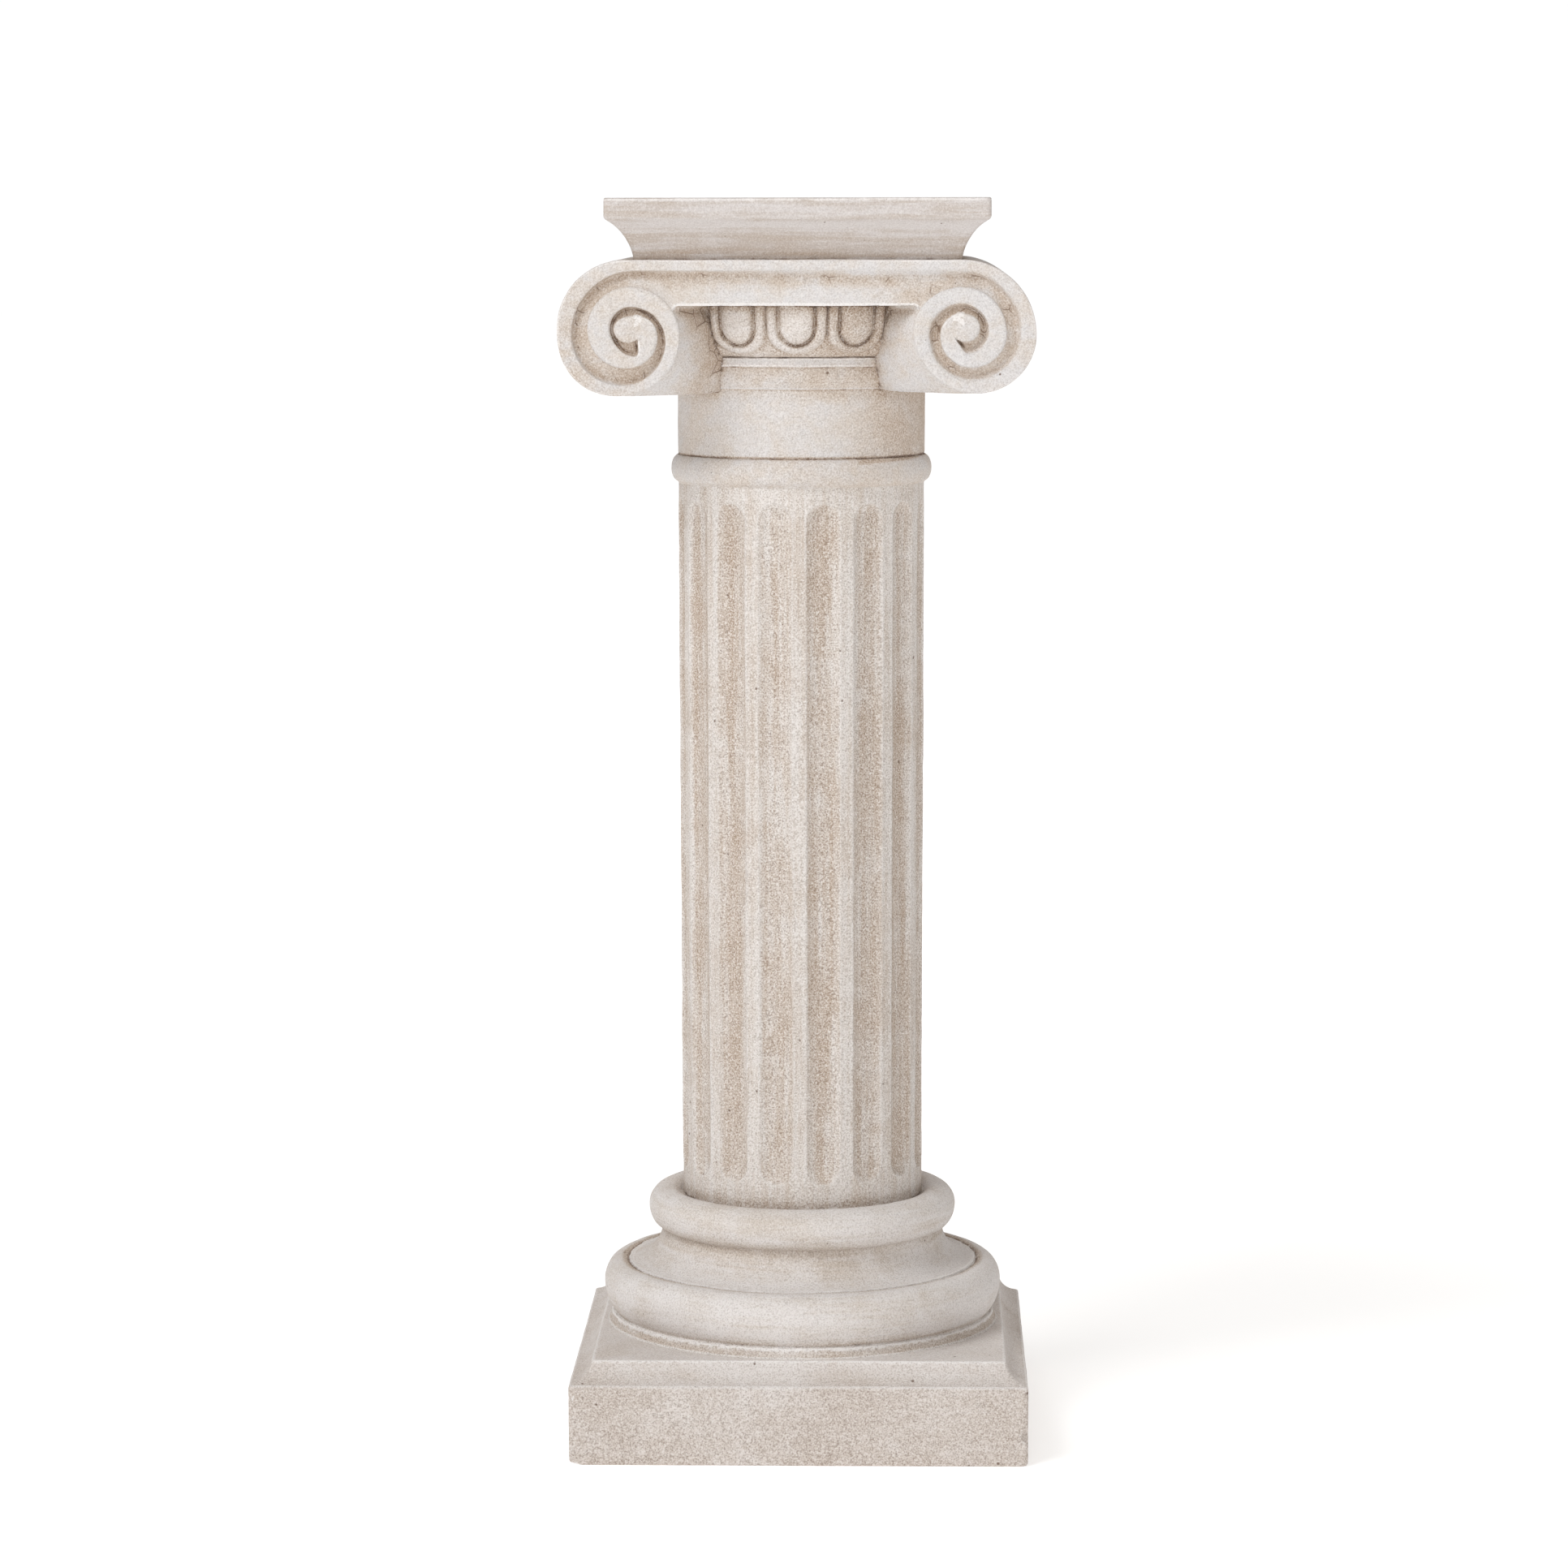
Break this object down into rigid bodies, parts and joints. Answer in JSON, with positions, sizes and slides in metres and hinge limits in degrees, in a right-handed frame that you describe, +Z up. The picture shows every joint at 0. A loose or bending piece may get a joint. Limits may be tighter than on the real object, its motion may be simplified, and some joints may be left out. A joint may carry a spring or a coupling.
{
  "type": "column plant stand",
  "caption": "Pedestal shaped as a fluted column on a square plinth, with a scrolled head and a flat square top for a plant pot.",
  "frame": {"origin": "centre of the plinth's underside, on the surface that the stand rests on", "axes": "+Z up along the column; -Y is the front, which one scrolled face looks out of; +X to the right"},
  "size_m": [0.2896, 0.2794, 0.766],
  "materials": {
    "cast_stone": "matt limewash over a brown wash, fine pinholes and brush marks"
  },
  "bodies": {
    "root": {"column_plant_stand": "cast_stone"}
  },
  "joints": []
}
